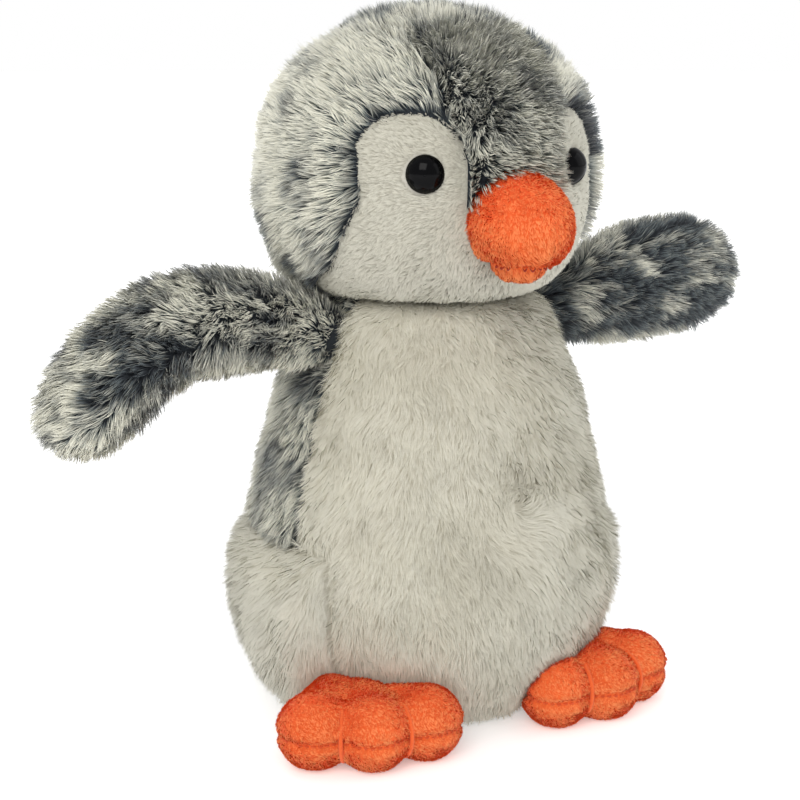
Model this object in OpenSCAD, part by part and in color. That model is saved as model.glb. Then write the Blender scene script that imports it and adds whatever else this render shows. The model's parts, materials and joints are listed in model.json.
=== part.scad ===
// Standing plush penguin, about 225 mm tall, in millimetres.
// +Z is up, the penguin faces -Y, and its left side is at +X.
// The origin is the centre of the flat base panel, at floor level.
// Solids show the sewn fabric and its filling; the fur pile stands outside them.

/* [Body] */
// Half width of the torso at its widest, at hip height
hip_r = 60.5; // [50:0.5:72]
// Half width of the flat panel that the toy stands on
base_r = 36; // [28:1:42]
// Thickness of a fabric panel with its backing
panel_t = 2.4; // [1.5:0.1:4]
// Half angle of the white belly panel, measured from straight ahead
belly_angle = 76; // [60:1:90]
// Height of the top of the white thigh panels
thigh_h = 61; // [35:1:75]
// Angle from straight ahead at which each thigh panel starts
thigh_from = 60; // [45:1:70]
// Angle from straight ahead at which each thigh panel ends
thigh_to = 128; // [100:1:150]

/* [Neck] */
// Height of the centre about which the head turns and nods
neck_z = 110; // [100:1:120]
// Radius of the ball-shaped joint between head and torso
neck_r = 43.9; // [40:0.1:48]
// Thickness of the layer of stuffing in the neck opening
neck_t = 3.9; // [2:0.1:6]

/* [Head] */
// Half width of the crown strip that runs over the head
crown_half = 19; // [12:1:26]
// Centre of the round top of each eye arch of the white face, sideways and up
eye_patch = [28.5, 186.5];
// Half width of each eye arch
eye_patch_r = 13.5; // [11:0.5:15]
// Half width of the white cheeks
cheek_half = 45; // [40:1:50]
// Height of the cheeks' top edge, where the eye arches start
cheek_top = 172; // [168:0.5:176]
// Centre of the beak where it meets the face, forward and up
beak_root = [-44, 168.5];
// Angle by which the beak points down
beak_dip = 8; // [0:1:20]
// Height of the beak's smile seam
smile_z = 154.5; // [152:0.5:165]
// Angle of each eye from straight ahead
eye_angle = 31; // [22:1:38]
// Height of the eyes
eye_z = 182; // [174:0.5:190]
// Radius of an eye's glossy dome
eye_r = 5.9; // [4:0.1:8]

/* [Wings] */
// Sideways distance and height of each shoulder hinge
shoulder = [41, 127];
// Radius of the wing's rounded root
root_r = 10.5; // [8:0.5:13]
// Half thickness of the wing root, front to back
root_half_t = 8; // [6:0.5:10]
// How far the drooping right wing turns flat along its length, in degrees
right_twist = 68; // [0:1:90]
// How far the raised left wing turns flat along its length, in degrees
left_twist = 12; // [0:1:90]

/* [Feet] */
// Centre of the heel of the left foot, sideways and forward
left_heel = [30, -25];
// Centre of the heel of the right foot, sideways and forward
right_heel = [41, -24];
// Angle by which the left foot points outward
left_splay = 8; // [0:1:30]
// Angle by which the right foot points outward
right_splay = 18; // [0:1:30]
// Radius of a toe
toe_r = 12; // [9:0.5:15]
// Distance from heel to the centre of each toe's round end
toe_reach = 34; // [26:1:40]
// Angle between neighbouring toes
toe_spread = 31; // [20:1:38]
// Most that a foot can flex up
foot_up = 7; // [4:1:12]

/* [Hidden] */
$fn = 64;
// Clearance between parts that move against each other
gap = 0.4;
// Angles, from the vertical, at which the neck opening and the head's rim end
neck_open = 46;
dome_end = 58;
// Height of the middle of the cheeks' round lower outline
cheek_low = 157.5;
foot_skin = 2;
// Where each toe starts in front of the heel, and how much slimmer it is behind its end
toe_start = 2;
toe_step = 1.6;
toe_waist = 0.9;
middle_waist = 0.5;
foot_seam_z = 10.7;
foot_pivot = [-34, 5];
// Height of the flat underside of the toes, and how far it cuts into their round shape
sole_z = 0.2;
sole_flat = 0.9;
big = 200;

function on_ball(r, a) = [r * sin(a), neck_z + r * cos(a)];

// Side outline of the torso from the floor to the shoulder, widened by g
function torso_side(g = 0) = [
    [base_r + g, 0 - g], [42.5 + g, 1.5 - g / 2], [48.5 + g, 6], [53.5 + g, 13], [57.2 + g, 22],
    [59.6 + g, 31], [hip_r + g, 41], [60.2 + g, 51], [58.8 + g, 62], [56.8 + g, 72],
    [54.5 + g, 82], [52 + g, 92], [49.5 + g, 102], [46.3 + g, 112], [43 + g, 120.5],
    [39.9 + g, 127.8]
];

// Outline of the head from the neck rim to the crown
head_outline = [
    [36.5, 140.8], [42, 144], [46.8, 150], [50, 158], [52, 167], [52.4, 177], [51.8, 186],
    [49.5, 195.5], [45, 204.5], [38, 212.5], [29, 218.5], [19, 222.5], [9, 224.6], [0, 225]
];

/* ---------- shapes shared by several parts ---------- */

module revolve(points) {
    rotate_extrude($fn = 96) polygon(points);
}

// Whole outside of the torso, up to the rim of the neck opening
module torso_solid() {
    revolve(concat([[0, 0]], torso_side(), [for (a = [dome_end : -4 : neck_open]) on_ball(neck_r, a)],
                   [[0, on_ball(neck_r, neck_open)[1]]]));
}

// Outline of the inside of the fabric panels, up to the neck opening
panel_inside = concat([[0, panel_t]], [for (p = torso_side()) [p[0] - panel_t, max(p[1], panel_t)]],
                      [for (a = [dome_end : -4 : neck_open]) on_ball(neck_r - panel_t, a)]);

// Everything inside the fabric panels, open at the neck
module torso_hollow() {
    revolve(concat(panel_inside, [[on_ball(neck_r - panel_t, neck_open)[0], big], [0, big]]));
}

// Stuffing that fills the torso up to its ball-shaped top
module torso_core() {
    top_r = neck_r - neck_t - gap;
    edge = asin(on_ball(neck_r - panel_t, neck_open)[0] / top_r);
    revolve(concat(panel_inside, [for (i = [8 : -1 : 0]) on_ball(top_r, edge * i / 8)]));
}

// Upright wedge between two angles from straight ahead, on the +X side
module sector(from, to, low = -1, high = big) {
    steps = ceil((to - from) / 45);
    translate([0, 0, low])
        linear_extrude(high - low)
            polygon(concat([[0, 0]], [for (i = [0 : steps])
                let (a = from + (to - from) * i / steps) [big * sin(a), -big * cos(a)]]));
}

module both_sides() {
    children();
    mirror([1, 0, 0]) children();
}

module shoulder_sockets() {
    both_sides()
        translate([shoulder[0], 0, shoulder[1]])
            rotate([90, 0, 0])
                cylinder(r = root_r + gap, h = 2 * (root_half_t + gap), center = true);
}

module torso_skin() {
    difference() {
        torso_solid();
        torso_hollow();
        translate([0, 0, -1]) cylinder(r = base_r, h = panel_t + 1.5);
        shoulder_sockets();
    }
}

/* ---------- torso ---------- */

module belly_panel() {
    color("white")
        difference() {
            intersection() {
                torso_skin();
                both_sides() sector(0, belly_angle);
            }
            both_sides() sector(thigh_from, thigh_to, -1, thigh_h);
        }
}

module back_panel(side) {
    color("dimgray")
        mirror([side < 0 ? 1 : 0, 0, 0])
            difference() {
                intersection() {
                    torso_skin();
                    sector(belly_angle, 180);
                }
                sector(thigh_from, thigh_to, -1, thigh_h);
            }
}

module thigh_panel(side) {
    color("ivory")
        mirror([side < 0 ? 1 : 0, 0, 0])
            intersection() {
                torso_skin();
                sector(thigh_from, thigh_to, -1, thigh_h);
            }
}

module base_panel() {
    color("gainsboro") cylinder(r = base_r, h = panel_t);
}

pouch_r = 30;
pouch_low = 8;
pouch_high = 26;
pouch_t = 0.8;

// Rounded bag shape, shrunk by t on every side
module pouch_shape(t = 0) {
    round_r = (pouch_high - pouch_low) / 2;
    translate([0, 0, pouch_low + round_r])
        revolve(concat([[0, t - round_r]],
                       [for (a = [-90 : 15 : 90]) [pouch_r - round_r, 0] + (round_r - t) * [cos(a), sin(a)]],
                       [[0, round_r - t]]));
}

module pellet_pouch() {
    color("linen")
        difference() {
            pouch_shape();
            pouch_shape(pouch_t);
        }
}

pellet_r = 2.6;
module pellets() {
    color("whitesmoke")
        for (level = [0 : 1], ring = [0 : 3], i = [0 : max(0, ring * 6 - 1)])
            rotate([0, 0, 360 / max(1, ring * 6) * i + 15 * level])
                translate([ring * 6.4, 0, pouch_low + pouch_t + 3.4 + level * 6.2])
                    sphere(r = pellet_r, $fn = 20);
}

module torso_stuffing() {
    color("snow")
        difference() {
            torso_core();
            pouch_shape();
            shoulder_sockets();
        }
}

stitch_r = 0.45;
stitch_len = 5;
// Ladder stitches that close the back seam
module closing_seam() {
    color("darkgray")
        for (i = [5 : 11], k = [0 : 1]) {
            from = torso_side()[i];
            at = from + (torso_side()[i + 1] - from) * (k + 0.25) / 2;
            translate([0, at[0] + stitch_r * 1.3, at[1]])
                rotate([0, 90, 0])
                    cylinder(r = stitch_r, h = stitch_len, center = true);
        }
}

/* ---------- neck ---------- */

module neck_stuffing() {
    ball_in = neck_r - neck_t;
    rim = asin((on_ball(neck_r - panel_t, neck_open)[0] - gap) / neck_r);
    color("snow")
        revolve(concat([for (i = [0 : 9]) on_ball(neck_r, rim * i / 9)],
                       [for (i = [9 : -1 : 0]) on_ball(ball_in, rim * i / 9)]));
}

/* ---------- head ---------- */

head_rim = [for (a = [0 : 5.9 : 47.2]) on_ball(neck_r + gap, a)];

module head_solid() {
    revolve(concat(head_rim, head_outline));
}

module head_core() {
    revolve(concat([for (a = [0 : 5.9 : 41.3]) on_ball(neck_r + gap, a)],
                   [[33.5, 143.8]],
                   [for (p = head_outline) if (p[1] > 143 && p[0] > 0)
                       [max(p[0] - panel_t, 0.1), p[1] - panel_t * max(0, (p[1] - 180) / 45)]],
                   [[0, 225 - panel_t]]));
}

module head_skin() {
    difference() {
        head_solid();
        head_core();
        eyes_at() eye_hole();
    }
}

// Outline of the white face seen from the front
module face_outline() {
    for (s = [-1, 1]) translate([s * eye_patch[0], 0]) {
        translate([0, eye_patch[1]]) circle(r = eye_patch_r);
        translate([-eye_patch_r, cheek_top - 5]) square([2 * eye_patch_r, eye_patch[1] - cheek_top + 5]);
    }
    intersection() {
        translate([-cheek_half - 1, 130]) square([2 * cheek_half + 2, cheek_top - 130]);
        translate([0, cheek_low]) circle(r = cheek_half);
    }
}

module face_prism() {
    rotate([90, 0, 0]) linear_extrude(big) face_outline();
}

module face_panel() {
    color("white")
        intersection() {
            head_skin();
            face_prism();
        }
}

module crown_panel() {
    color("dimgray")
        difference() {
            intersection() {
                head_skin();
                translate([-crown_half, -big / 2, 100]) cube([2 * crown_half, big, big]);
            }
            face_prism();
        }
}

module cap_side(side) {
    color("gray")
        mirror([side < 0 ? 1 : 0, 0, 0])
            difference() {
                intersection() {
                    head_skin();
                    translate([crown_half, -big / 2, 100]) cube([big, big, big]);
                }
                face_prism();
            }
}

beak_profile = [[0, -6], [15.2, -6], [15.6, 4], [15.5, 12], [14.4, 18], [12.4, 23], [9.6, 27],
                [6, 30], [2.6, 31.3], [0, 31.6]];

// Beak of the given skin thickness taken off all round
module beak_solid(t = 0) {
    translate([0, beak_root[0], beak_root[1]])
        rotate([90 + beak_dip, 0, 0])
            rotate_extrude()
                polygon([for (p = beak_profile) [max(p[0] - t, 0), p[1] < 0 ? p[1] : p[1] - t]]);
}

module beak_skin() {
    difference() {
        beak_solid();
        beak_solid(1.6);
        head_solid();
    }
}

module beak_upper() {
    color("darkorange")
        intersection() {
            beak_skin();
            translate([-big / 2, -big, smile_z]) cube([big, big, big]);
        }
}

module beak_lower() {
    color("orange")
        intersection() {
            beak_skin();
            translate([-big / 2, -big, smile_z - big]) cube([big, big, big]);
        }
}

module beak_stuffing() {
    color("snow")
        difference() {
            beak_solid(1.6);
            head_solid();
        }
}

eye_seat_r = 51.9;
shank_r = 2;
shank_len = 9;
washer_r = 7.5;
washer_gap = 3.8;
washer_t = 1.3;

// Places its children at the right or left eye, with +Z pointing out of the face
module eye_at(side) {
    rotate([0, 0, side * eye_angle])
        translate([0, -eye_seat_r, eye_z])
            rotate([90, 0, 0])
                children();
}

module eyes_at() {
    for (side = [-1, 1]) eye_at(side) children();
}

module eye_hole() {
    translate([0, 0, -5]) cylinder(r = shank_r, h = 10, $fn = 32);
    cylinder(r = eye_r, h = 5);
}

module eye(side) {
    dome_h = 3.8;
    ball_r = (eye_r * eye_r + dome_h * dome_h) / (2 * dome_h);
    color("black")
        eye_at(side) {
            intersection() {
                translate([0, 0, 0.8 + dome_h - ball_r]) sphere(r = ball_r);
                translate([0, 0, 0.8]) cylinder(r = eye_r, h = dome_h + 1);
            }
            cylinder(r = eye_r, h = 0.8);
            translate([0, 0, -shank_len]) cylinder(r = shank_r, h = shank_len, $fn = 32);
        }
}

module washer_disc() {
    translate([0, 0, -washer_gap - washer_t]) cylinder(r = washer_r, h = washer_t);
}

module eye_washer(side) {
    color("white")
        eye_at(side)
            difference() {
                washer_disc();
                translate([0, 0, -8]) cylinder(r = shank_r, h = 8, $fn = 32);
            }
}

module head_stuffing() {
    color("snow")
        difference() {
            head_core();
            eyes_at() {
                washer_disc();
                translate([0, 0, -shank_len]) cylinder(r = shank_r, h = shank_len + 2, $fn = 32);
            }
        }
}

/* ---------- wings ---------- */

// Each station is [sideways, up, half width, half thickness], from root to tip
root_stations = [for (d = [-0.985, -0.86, -0.62, -0.3])
    [shoulder[0] + root_r * d, shoulder[1], root_r * sqrt(1 - d * d), root_half_t]];

droop_stations = concat(root_stations, [
    [41, 127, 10.5, 8], [48, 129.3, 10, 8.4], [56, 131.8, 11.6, 9.2], [67, 134, 14, 10],
    [80, 135, 16, 10.4], [93, 133, 17, 10.6], [104, 127.6, 17.3, 10.6], [112.5, 120.4, 17, 10.6],
    [119, 113, 15.9, 10.2], [123.4, 107.2, 13.2, 8.9], [126.3, 103.2, 9, 6.6],
    [127.8, 101, 4.2, 3.2]
]);

raised_stations = concat(root_stations, [
    [41, 127, 10.5, 8], [48, 128.4, 10, 8.4], [56, 130, 12, 9.2], [66, 131.8, 15, 10],
    [77, 133.4, 17.3, 10.4], [88, 134.7, 18.4, 10.6], [98, 135.8, 18.6, 10.6],
    [107, 136.7, 17.8, 10.4], [115, 137.5, 15.6, 9.8], [121, 138, 12, 8.2],
    [124.8, 138.3, 7.6, 5.6], [126.4, 138.4, 3.4, 2.8]
]);

ring_n = 20;
wing_t = 2;

// Direction of the wing's centre line at station i, in the sideways-up plane
function heading(st, i) =
    i < len(root_stations) ? [1, 0]
    : let (a = st[max(i - 1, 0)], b = st[min(i + 1, len(st) - 1)],
           d = [b[0] - a[0], b[1] - a[1]]) d / norm(d);

// Point number k of the ring at station i, drawn in by t, with the wing turned by twist in all
function ring_point(st, twist, i, k, t) =
    let (s = st[i], h = heading(st, i), from = len(root_stations) + 1,
         turn = twist * max(0, min(1, (i - from) / 5)),
         a = 360 * k / ring_n,
         w = max(s[2] - t, 0.4) * cos(a), v = max(s[3] - t, 0.4) * sin(a),
         up = w * cos(turn) + v * sin(turn), ahead = -v * cos(turn) + w * sin(turn))
    [s[0] - h[1] * up, ahead, s[1] + h[0] * up];

// Closed loft of ring points k0 to k1 between stations, as a tube half or a whole wing
module wing_loft(st, twist, t) {
    n = len(st);
    points = [for (i = [0 : n - 1], k = [0 : ring_n - 1]) ring_point(st, twist, i, k, t)];
    walls = [for (i = [0 : n - 2], k = [0 : ring_n - 1])
        let (m = (k + 1) % ring_n)
        each [[i * ring_n + k, (i + 1) * ring_n + k, i * ring_n + m],
              [i * ring_n + m, (i + 1) * ring_n + k, (i + 1) * ring_n + m]]];
    polyhedron(points, concat(walls, [[for (k = [0 : ring_n - 1]) k],
                                      [for (k = [ring_n - 1 : -1 : 0]) (n - 1) * ring_n + k]]));
}

// Half of the wing's skin: side 0 is the upper or front face, side 1 the other
module wing_half(st, twist, half) {
    n = len(st);
    m = ring_n / 2 + 1;
    k0 = half * ring_n / 2;
    function at(i, j, t) = ring_point(st, twist, i, (k0 + j) % ring_n, t);
    points = concat([for (i = [0 : n - 1], j = [0 : m - 1]) at(i, j, 0)],
                    [for (i = [0 : n - 1], j = [0 : m - 1]) at(i, j, wing_t)]);
    in0 = n * m;
    function quad(a, b, c, d) = [[a, b, c], [a, c, d]];
    faces = concat(
        [for (i = [0 : n - 2], j = [0 : m - 2])
            each quad(i * m + j, (i + 1) * m + j, (i + 1) * m + j + 1, i * m + j + 1)],
        [for (i = [0 : n - 2], j = [0 : m - 2])
            each quad(in0 + i * m + j, in0 + i * m + j + 1, in0 + (i + 1) * m + j + 1,
                      in0 + (i + 1) * m + j)],
        [for (i = [0 : n - 2])
            each quad(i * m, in0 + i * m, in0 + (i + 1) * m, (i + 1) * m)],
        [for (i = [0 : n - 2])
            each quad(i * m + m - 1, (i + 1) * m + m - 1, in0 + (i + 1) * m + m - 1,
                      in0 + i * m + m - 1)],
        [for (j = [0 : m - 2]) each quad(j, j + 1, in0 + j + 1, in0 + j)],
        [for (j = [0 : m - 2])
            let (b = (n - 1) * m)
            each quad(b + j, in0 + b + j, in0 + b + j + 1, b + j + 1)]);
    polyhedron(points, faces);
}

module wing_panel(side, half) {
    color(half == 0 ? "dimgray" : "gray")
        mirror([side < 0 ? 1 : 0, 0, 0])
            wing_half(side < 0 ? droop_stations : raised_stations,
                      side < 0 ? right_twist : left_twist, half);
}

module wing_stuffing(side) {
    color("snow")
        mirror([side < 0 ? 1 : 0, 0, 0])
            wing_loft(side < 0 ? droop_stations : raised_stations,
                      side < 0 ? right_twist : left_twist, wing_t + 0.15);
}

/* ---------- feet ---------- */

// Three stuffed toes that meet at the heel, drawn in by t and flat underneath
module toes(t = 0) {
    r = toe_r - t;
    difference() {
        for (k = [-1 : 1]) {
            start = toe_start + k * toe_step + t * toe_step / 4;
            waist = k == 0 ? middle_waist : toe_waist;
            rotate([0, 0, k * toe_spread]) {
                translate([0, -toe_reach, 0]) sphere(r = r);
                translate([0, -start, 0])
                    rotate([90, 0, 0]) cylinder(r = r - waist, h = toe_reach - start);
            }
        }
        translate([-big / 2, -big / 2, sole_flat - r - big]) cube(big);
    }
}

module foot_place(side) {
    heel = side < 0 ? right_heel : left_heel;
    mirror([side < 0 ? 1 : 0, 0, 0])
        translate([heel[0], heel[1], sole_z + toe_r - sole_flat])
            rotate([0, 0, side < 0 ? right_splay : left_splay])
                children();
}

// Point of the torso's side outline as it comes to lie beside a foot that is flexed all the way up
function tipped(p) =
    let (front = -foot_pivot[0], d = p - [front, foot_pivot[1]], c = cos(foot_up), s = sin(foot_up))
    [front + d[0] * c + d[1] * s, foot_pivot[1] + d[1] * c - d[0] * s];

// Space that the torso needs beside a foot over all of the foot's travel
module torso_clearance() {
    outline = [for (i = [0 : 6]) tipped(torso_side(gap)[i])];
    revolve(concat([[0, -toe_r], [outline[0][0], -toe_r]], outline, [[0, outline[6][1]]]));
}

module foot_skin(side) {
    difference() {
        foot_place(side) toes();
        torso_clearance();
        foot_place(side) toes(foot_skin);
    }
}

module foot_top(side) {
    color("darkorange")
        intersection() {
            foot_skin(side);
            translate([-big, -big, foot_seam_z]) cube([2 * big, 2 * big, big]);
        }
}

module foot_sole(side) {
    color("orange")
        intersection() {
            foot_skin(side);
            translate([-big, -big, foot_seam_z - big]) cube([2 * big, 2 * big, big]);
        }
}

module foot_stuffing(side) {
    color("snow")
        difference() {
            foot_place(side) toes(foot_skin);
            torso_clearance();
        }
}

thread_r = 0.7;
// Thread that pinches the skin between neighbouring toes
module toe_stitches(side) {
    half = toe_spread / 2;
    bend_r = sqrt(pow(toe_r + thread_r + 0.1, 2) - pow(toe_reach * sin(half), 2));
    reach = 66;
    color("chocolate")
        foot_place(side)
            for (k = [-1, 1])
                rotate([0, 0, k * half])
                    translate([0, -toe_reach * cos(half), 0])
                        rotate([0, 90, 0])
                            rotate([0, 0, -90 - reach])
                                rotate_extrude(angle = 2 * reach)
                                    translate([bend_r, 0]) circle(r = thread_r, $fn = 16);
}

belly_panel();
back_panel(1);  // back_panel_left
back_panel(-1);  // back_panel_right
thigh_panel(1);  // thigh_panel_left
thigh_panel(-1);  // thigh_panel_right
base_panel();
torso_stuffing();
pellet_pouch();
pellets();
closing_seam();
neck_stuffing();
face_panel();
crown_panel();
cap_side(1);  // cap_side_left
cap_side(-1);  // cap_side_right
head_stuffing();
beak_upper();
beak_lower();
beak_stuffing();
eye(1);  // eye_left
eye(-1);  // eye_right
eye_washer(1);  // eye_washer_left
eye_washer(-1);  // eye_washer_right
wing_panel(1, 0);  // wing_left_front
wing_panel(1, 1);  // wing_left_back
wing_stuffing(1);  // wing_left_stuffing
wing_panel(-1, 0);  // wing_right_top
wing_panel(-1, 1);  // wing_right_under
wing_stuffing(-1);  // wing_right_stuffing
foot_top(1);  // foot_left_top
foot_sole(1);  // foot_left_sole
foot_stuffing(1);  // foot_left_stuffing
toe_stitches(1);  // foot_left_stitches
foot_top(-1);  // foot_right_top
foot_sole(-1);  // foot_right_sole
foot_stuffing(-1);  // foot_right_stuffing
toe_stitches(-1);  // foot_right_stitches
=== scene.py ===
import json
import math

import bmesh
import bpy
import numpy as np
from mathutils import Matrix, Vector
from mathutils.bvhtree import BVHTree
from mathutils.kdtree import KDTree


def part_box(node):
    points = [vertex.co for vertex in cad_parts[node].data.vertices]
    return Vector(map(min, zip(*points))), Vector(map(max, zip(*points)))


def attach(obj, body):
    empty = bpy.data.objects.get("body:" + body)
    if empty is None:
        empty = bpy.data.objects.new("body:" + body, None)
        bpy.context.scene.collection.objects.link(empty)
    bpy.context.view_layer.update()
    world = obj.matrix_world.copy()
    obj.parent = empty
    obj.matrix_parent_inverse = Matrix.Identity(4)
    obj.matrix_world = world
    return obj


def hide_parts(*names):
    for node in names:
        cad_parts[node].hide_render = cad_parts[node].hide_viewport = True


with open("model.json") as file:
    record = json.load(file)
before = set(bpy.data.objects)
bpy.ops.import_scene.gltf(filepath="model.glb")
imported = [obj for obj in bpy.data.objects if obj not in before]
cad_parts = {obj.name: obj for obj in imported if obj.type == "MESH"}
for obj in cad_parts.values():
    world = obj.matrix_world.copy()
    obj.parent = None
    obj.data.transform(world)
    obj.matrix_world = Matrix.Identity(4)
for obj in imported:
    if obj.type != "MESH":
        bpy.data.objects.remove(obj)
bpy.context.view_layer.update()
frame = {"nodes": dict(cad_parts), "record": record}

MM = 0.001
UV = "OFBake"  # the layer that carries each hair's tone and the way from its root to its tip
SEED = {"turn": 3, "lean": 5, "length": 9, "patch": 11, "streak": 21, "pucker": 31, "blot": 41}  # of each noise
rng = np.random.default_rng(20)
nodes = frame["nodes"]
scene = bpy.context.scene


# ---------- camera and light ----------

CAMERA_AZIMUTH, CAMERA_HEADING, CAMERA_PITCH = math.radians(-30), 60.97, 13.3
CAMERA_REACH, CAMERA_HEIGHT = 0.55, 0.23
CAMERA_LENS, CAMERA_SENSOR, CAMERA_CLIP = 74.25, 36, (0.02, 50)
SKY_LIGHT, BACKDROP = 0.66, 1.0  # how bright the world is as a light, and where the camera sees it


def aim(obj, place, heading, pitch):
    """Put obj at place, looking along a compass heading from +X and down by pitch, in degrees."""
    a, e = math.radians(heading), math.radians(pitch)
    way = Vector((math.cos(a) * math.cos(e), math.sin(a) * math.cos(e), -math.sin(e)))
    obj.location = place
    obj.rotation_euler = way.to_track_quat("-Z", "Y").to_euler()


camera = bpy.data.objects.new("camera", bpy.data.cameras.new("camera"))
scene.collection.objects.link(camera)
camera.data.sensor_width, camera.data.lens = CAMERA_SENSOR, CAMERA_LENS
camera.data.clip_start, camera.data.clip_end = CAMERA_CLIP
aim(camera, (math.sin(CAMERA_AZIMUTH) * CAMERA_REACH, -math.cos(CAMERA_AZIMUTH) * CAMERA_REACH, CAMERA_HEIGHT),
    CAMERA_HEADING, CAMERA_PITCH)
scene.camera = camera


def area_light(name, place, target, size, power, colour):
    """A square lamp at place, facing target."""
    light = bpy.data.lights.new(name, "AREA")
    light.shape, light.size, light.energy, light.color = "SQUARE", size, power, colour
    obj = bpy.data.objects.new(name, light)
    obj.location = place
    obj.rotation_euler = (Vector(target) - Vector(place)).to_track_quat("-Z", "Y").to_euler()
    scene.collection.objects.link(obj)


area_light("key", (-0.75, -0.75, 1.15), (0, 0, 0.1), 0.9, 10, (1, 0.985, 0.96))
area_light("fill", (0.95, -0.6, 0.7), (0, 0, 0.12), 1.1, 3, (0.95, 0.97, 1))
area_light("back", (0.1, 0.95, 0.9), (0, 0, 0.14), 0.9, 5, (1, 1, 1))
world = bpy.data.worlds.new("studio")
scene.world = world
world.use_nodes = True
sky = world.node_tree
backdrop, ray = sky.nodes.new("ShaderNodeMapRange"), sky.nodes.new("ShaderNodeLightPath")
backdrop.inputs["To Min"].default_value, backdrop.inputs["To Max"].default_value = SKY_LIGHT, BACKDROP
sky.links.new(ray.outputs["Is Camera Ray"], backdrop.inputs["Value"])
sky.links.new(backdrop.outputs["Result"], sky.nodes["Background"].inputs["Strength"])
sky.nodes["Background"].inputs["Color"].default_value = (1, 1, 1, 1)
scene.view_settings.view_transform = "Standard"


# ---------- materials ----------

HAIR_ROUGHNESS, HAIR_SPECULAR = 0.8, 0.25
CLOTH_SPECULAR, SHEEN_ROUGHNESS = 0.3, 0.5
TONE_SCALE = 45  # of the slow changes of colour in cloth
CLOUD_SCALE = 240  # of the cloudiness in plastic
BUMP_HEIGHT = 0.3 * MM
NOISE_LOW, NOISE_HIGH = 0.3, 0.7  # the part of a noise's range that a colour ramp spreads over
FLOOR_GLOW = (0.3, 0.8)  # the floor's own light near the object and far from it
FLOOR_GLOW_REACH = (0.2, 1.2)  # and the distances at which it has them


def linear(r, g, b):
    """A colour given as it looks, 0 to 255, as the linear values that shaders take."""
    def one(v):
        v /= 255
        return v / 12.92 if v <= 0.04045 else ((v + 0.055) / 1.055) ** 2.4
    return one(r), one(g), one(b), 1


def base_material(name, roughness, sheen=0.0, specular=0.5):
    """A new material, with its nodes, its links and its shader."""
    m = bpy.data.materials.new(name)
    m.use_nodes = True
    shader = m.node_tree.nodes["Principled BSDF"]
    shader.inputs["Roughness"].default_value = roughness
    shader.inputs["Specular IOR Level"].default_value = specular
    if sheen:
        shader.inputs["Sheen Weight"].default_value = sheen
        shader.inputs["Sheen Roughness"].default_value = SHEEN_ROUGHNESS
    return m, m.node_tree.nodes, m.node_tree.links, shader


def ramp(tree_nodes, stops):
    """A colour ramp through the given places and colours."""
    r = tree_nodes.new("ShaderNodeValToRGB")
    r.color_ramp.elements[0].position, r.color_ramp.elements[0].color = stops[0]
    r.color_ramp.elements[1].position, r.color_ramp.elements[1].color = stops[-1]
    for at, colour in stops[1:-1]:
        r.color_ramp.elements.new(at).color = colour
    return r


def hair_material(name, dark, light, sheen=0.0):
    """Hair whose colour runs from root to tip, between a dark hair's colours and a light hair's by its tone."""
    m, ns, links, shader = base_material(name, HAIR_ROUGHNESS, sheen, HAIR_SPECULAR)
    uv = ns.new("ShaderNodeUVMap")
    uv.uv_map = UV
    split = ns.new("ShaderNodeSeparateXYZ")
    links.new(uv.outputs["UV"], split.inputs["Vector"])
    mix = ns.new("ShaderNodeMix")
    mix.data_type = "RGBA"
    links.new(split.outputs["X"], mix.inputs["Factor"])
    for stops, socket in ((dark, "A"), (light, "B")):
        r = ramp(ns, stops)
        links.new(split.outputs["Y"], r.inputs["Fac"])
        links.new(r.outputs["Color"], [s for s in mix.inputs if s.name == socket and s.type == "RGBA"][0])
    links.new([s for s in mix.outputs if s.type == "RGBA"][0], shader.inputs["Base Color"])
    return m


def cloth_material(name, low, high, grain=900, roughness=0.9, sheen=0.15, bump=0.25):
    """Cloth, thread or paper: a fine grain, which is also a bump, over slow changes of colour."""
    m, ns, links, shader = base_material(name, roughness, sheen, CLOTH_SPECULAR)
    where = ns.new("ShaderNodeTexCoord")
    slow, fine = ns.new("ShaderNodeTexNoise"), ns.new("ShaderNodeTexNoise")
    slow.inputs["Scale"].default_value, fine.inputs["Scale"].default_value = TONE_SCALE, grain
    fine.inputs["Detail"].default_value = 3
    add = ns.new("ShaderNodeMath")
    add.operation = "MULTIPLY_ADD"
    add.inputs[1].default_value = 0.5
    for n in (slow, fine):
        links.new(where.outputs["Object"], n.inputs["Vector"])
    links.new(slow.outputs["Fac"], add.inputs[0])
    half = ns.new("ShaderNodeMath")
    half.operation = "MULTIPLY"
    half.inputs[1].default_value = 0.5
    links.new(fine.outputs["Fac"], half.inputs[0])
    links.new(half.outputs[0], add.inputs[2])
    r = ramp(ns, [(NOISE_LOW, low), (NOISE_HIGH, high)])
    links.new(add.outputs[0], r.inputs["Fac"])
    links.new(r.outputs["Color"], shader.inputs["Base Color"])
    b = ns.new("ShaderNodeBump")
    b.inputs["Strength"].default_value = bump
    b.inputs["Distance"].default_value = BUMP_HEIGHT
    links.new(fine.outputs["Fac"], b.inputs["Height"])
    links.new(b.outputs["Normal"], shader.inputs["Normal"])
    return m


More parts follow.
